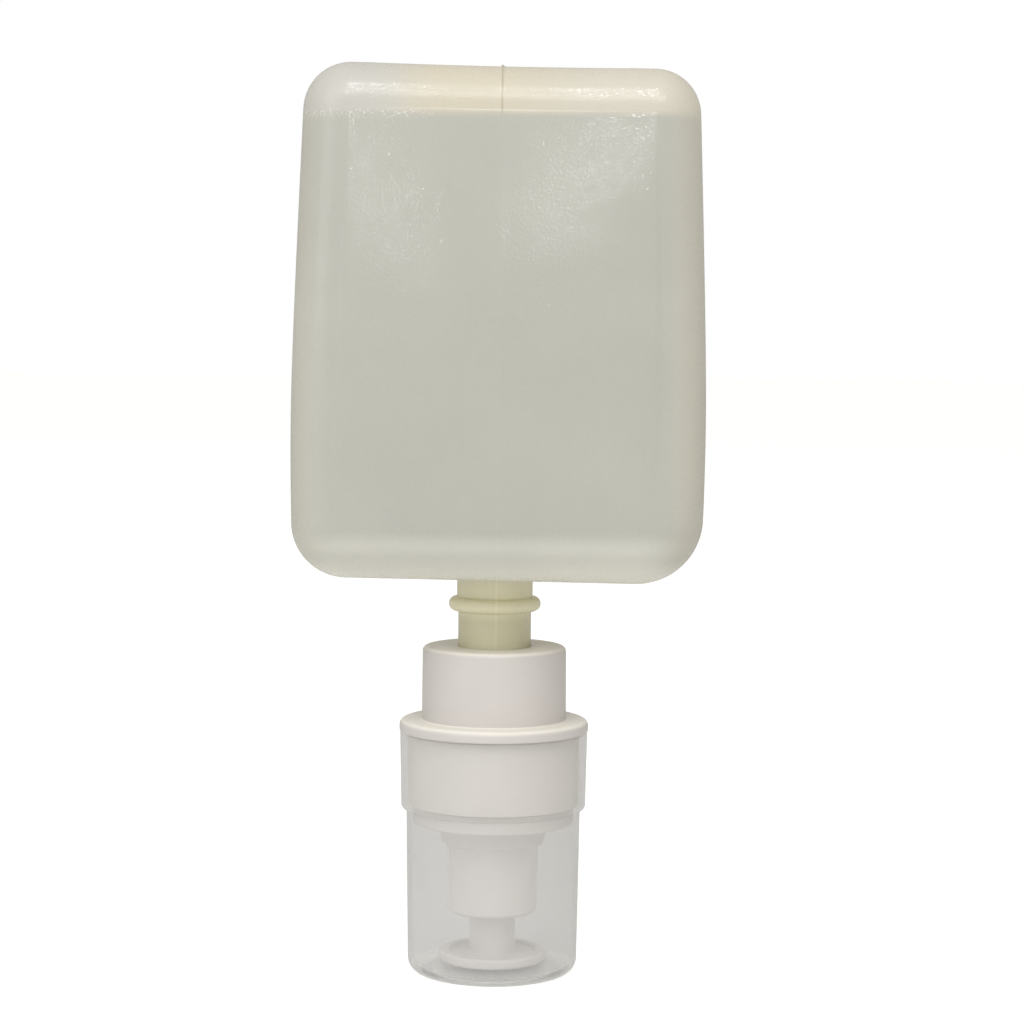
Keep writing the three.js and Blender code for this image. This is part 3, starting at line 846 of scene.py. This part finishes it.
def make_studio():
    """A pale floor and surround. They look white by themselves, and pale grey to the part and
    through its clear pieces, as a white sweep does in a photograph that leaves it bright."""
    size = 6.0
    mesh = bpy.data.meshes.new("studio_floor")
    corners = [(-size, -size, 0), (size, -size, 0), (size, size, 0), (-size, size, 0)]
    mesh.from_pydata(corners, [], [(0, 1, 2, 3)])
    floor = bpy.data.objects.new("studio_floor", mesh)
    bpy.context.scene.collection.objects.link(floor)
    n = Nodes("pale_floor")
    direct, through = sight(n.tree)
    shade = n.mix_colour(through, rgb(0.75, 0.75, 0.74), rgb(0.34, 0.335, 0.33))
    body = n.add("BsdfPrincipled", Base_Color=shade, Roughness=0.7)
    body.inputs["Emission Color"].default_value = rgb(1, 1, 1)
    own = n.maths("MULTIPLY", direct, FLOOR_GLOW)
    veiled = n.maths("MULTIPLY", through, VEILED_GLOW)
    n.feed(body, "Emission Strength", n.maths("ADD", own, veiled))
    floor.data.materials.append(n.finish(body.outputs["BSDF"]))

    world = bpy.data.worlds.new("studio")
    bpy.context.scene.world = world
    world.use_nodes = True
    tree = world.node_tree
    tree.nodes.clear()
    out = tree.nodes.new("ShaderNodeOutputWorld")
    direct, through = sight(tree)
    glow = None
    for factor, strength, colour in (
        (None, FILL, rgb(1, 0.985, 0.96)),
        (through, VEILED, rgb(0.98, 1, 1)),
        (direct, 1.0, rgb(1, 1, 1)),
    ):
        light = tree.nodes.new("ShaderNodeBackground")
        light.inputs["Strength"].default_value = strength
        light.inputs["Color"].default_value = colour
        if factor is None:
            glow = light.outputs[0]
            continue
        mix = tree.nodes.new("ShaderNodeMixShader")
        tree.links.new(factor, mix.inputs[0])
        tree.links.new(glow, mix.inputs[1])
        tree.links.new(light.outputs[0], mix.inputs[2])
        glow = mix.outputs[0]
    tree.links.new(glow, out.inputs["Surface"])


def area_light(name, place_at, aim, width, height, power, colour=(1, 1, 1), turn=0.0):
    light = bpy.data.lights.new(name, "AREA")
    light.shape = "RECTANGLE"
    light.size, light.size_y = width, height
    light.energy = power
    light.color = colour
    obj = bpy.data.objects.new(name, light)
    obj.location = place_at
    facing = (Vector(aim) - Vector(place_at)).to_track_quat("-Z", "Y").to_matrix()
    obj.rotation_euler = (facing @ Matrix.Rotation(math.radians(turn), 3, "Z")).to_euler()
    bpy.context.scene.collection.objects.link(obj)


def make_camera():
    """A long lens 0.8 m in front of the bottle's middle, looking down a little."""
    tilt = 4.36  # degrees
    roll = 0.0085  # radians
    camera = bpy.data.cameras.new("camera")
    camera.lens = 99.49
    camera.sensor_width = 36
    obj = bpy.data.objects.new("camera", camera)
    bpy.context.scene.collection.objects.link(obj)
    at = Matrix.Translation((0.0047, -0.8044, 0.19377))
    down = Matrix.Rotation(math.radians(90 - tilt), 4, "X")
    obj.matrix_world = at @ down @ Matrix.Rotation(roll, 4, "Z")
    bpy.context.scene.camera = obj


bpy.context.scene.view_settings.view_transform = "Standard"
make_camera()
make_studio()
COOL, WARM = (0.94, 0.97, 1.0), (1.0, 0.98, 0.95)
BODY_MIDDLE, ROOF = (0, 0, 0.14), (0, 0, 0.2)
area_light("left_softbox", (-1.3, -1.3, 0.9), BODY_MIDDLE, 1.1, 1.5, 9.5, COOL)
area_light("right_softbox", (1.3, -1.35, 0.9), BODY_MIDDLE, 1.1, 1.5, 1.5, WARM)
area_light("front_key", (0, -1.3, 1.25), (0, 0, 0.1), 1.2, 0.4, 7)
area_light("overhead", (0, -0.95, 1.45), BODY_MIDDLE, 1.5, 0.8, 3)
# these two give the roof's edge its bright ends
area_light("left_overhead", (-0.14, -0.93, 1.4), ROOF, 0.14, 0.5, 2.5, COOL)
area_light("right_overhead", (0.17, -0.93, 1.4), ROOF, 0.2, 0.5, 3.5)
# and these small ones the two slanting patches of sparkle on the front panel
area_light("left_catch", (-0.206, -1.53, 0.338), (-0.035, 0, 0.223), 0.02, 0.09, 0.38, turn=24)
area_light("right_catch", (0.122, -1.53, 0.38), (0.024, 0, 0.231), 0.025, 0.14, 0.42, turn=-20)

white = white_plastic("white_plastic", rgb(0.585, 0.555, 0.535), 0.42)
# the collar's paler colour on faces that look up is painted light from the bottle over it
collar = white_plastic(
    "collar_plastic", rgb(0.578, 0.545, 0.515), 0.44, upward=rgb(0.78, 0.745, 0.675))
steel = moulded_plastic("spring_steel", rgb(0.55, 0.56, 0.57), 0.3, steel=1.0)
make_bottle()
make_soap()
make_housing(collar)
make_guide(white)
make_nozzle(white)
make_spring(steel)
make_overcap()

# the pieces inside the pump keep their CAD meshes
inner = moulded_plastic("inner_plastic", rgb(0.80, 0.80, 0.78), 0.42)
seal = moulded_plastic("soft_seal", rgb(0.70, 0.69, 0.64), 0.65, grain=1600)
silicone = moulded_plastic("silicone", rgb(0.66, 0.68, 0.68), 0.5, mottle=0.05)
thread = rgb(0.85, 0.85, 0.82)
looks = {
    inner: ("pump_body", "mixing_barrel", "air_piston", "plunger", "mesh_holder"),
    seal: ("neck_gasket", "plunger_seal"),
    silicone: ("inlet_valve", "air_valve", "outlet_valve"),
    woven_mesh("coarse_mesh", thread, 2600): ("coarse_mesh",),
    woven_mesh("fine_mesh", thread, 5200): ("fine_mesh",),
}
for look, names in looks.items():
    for name in names:
        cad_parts[name].data.materials.clear()
        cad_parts[name].data.materials.append(look)
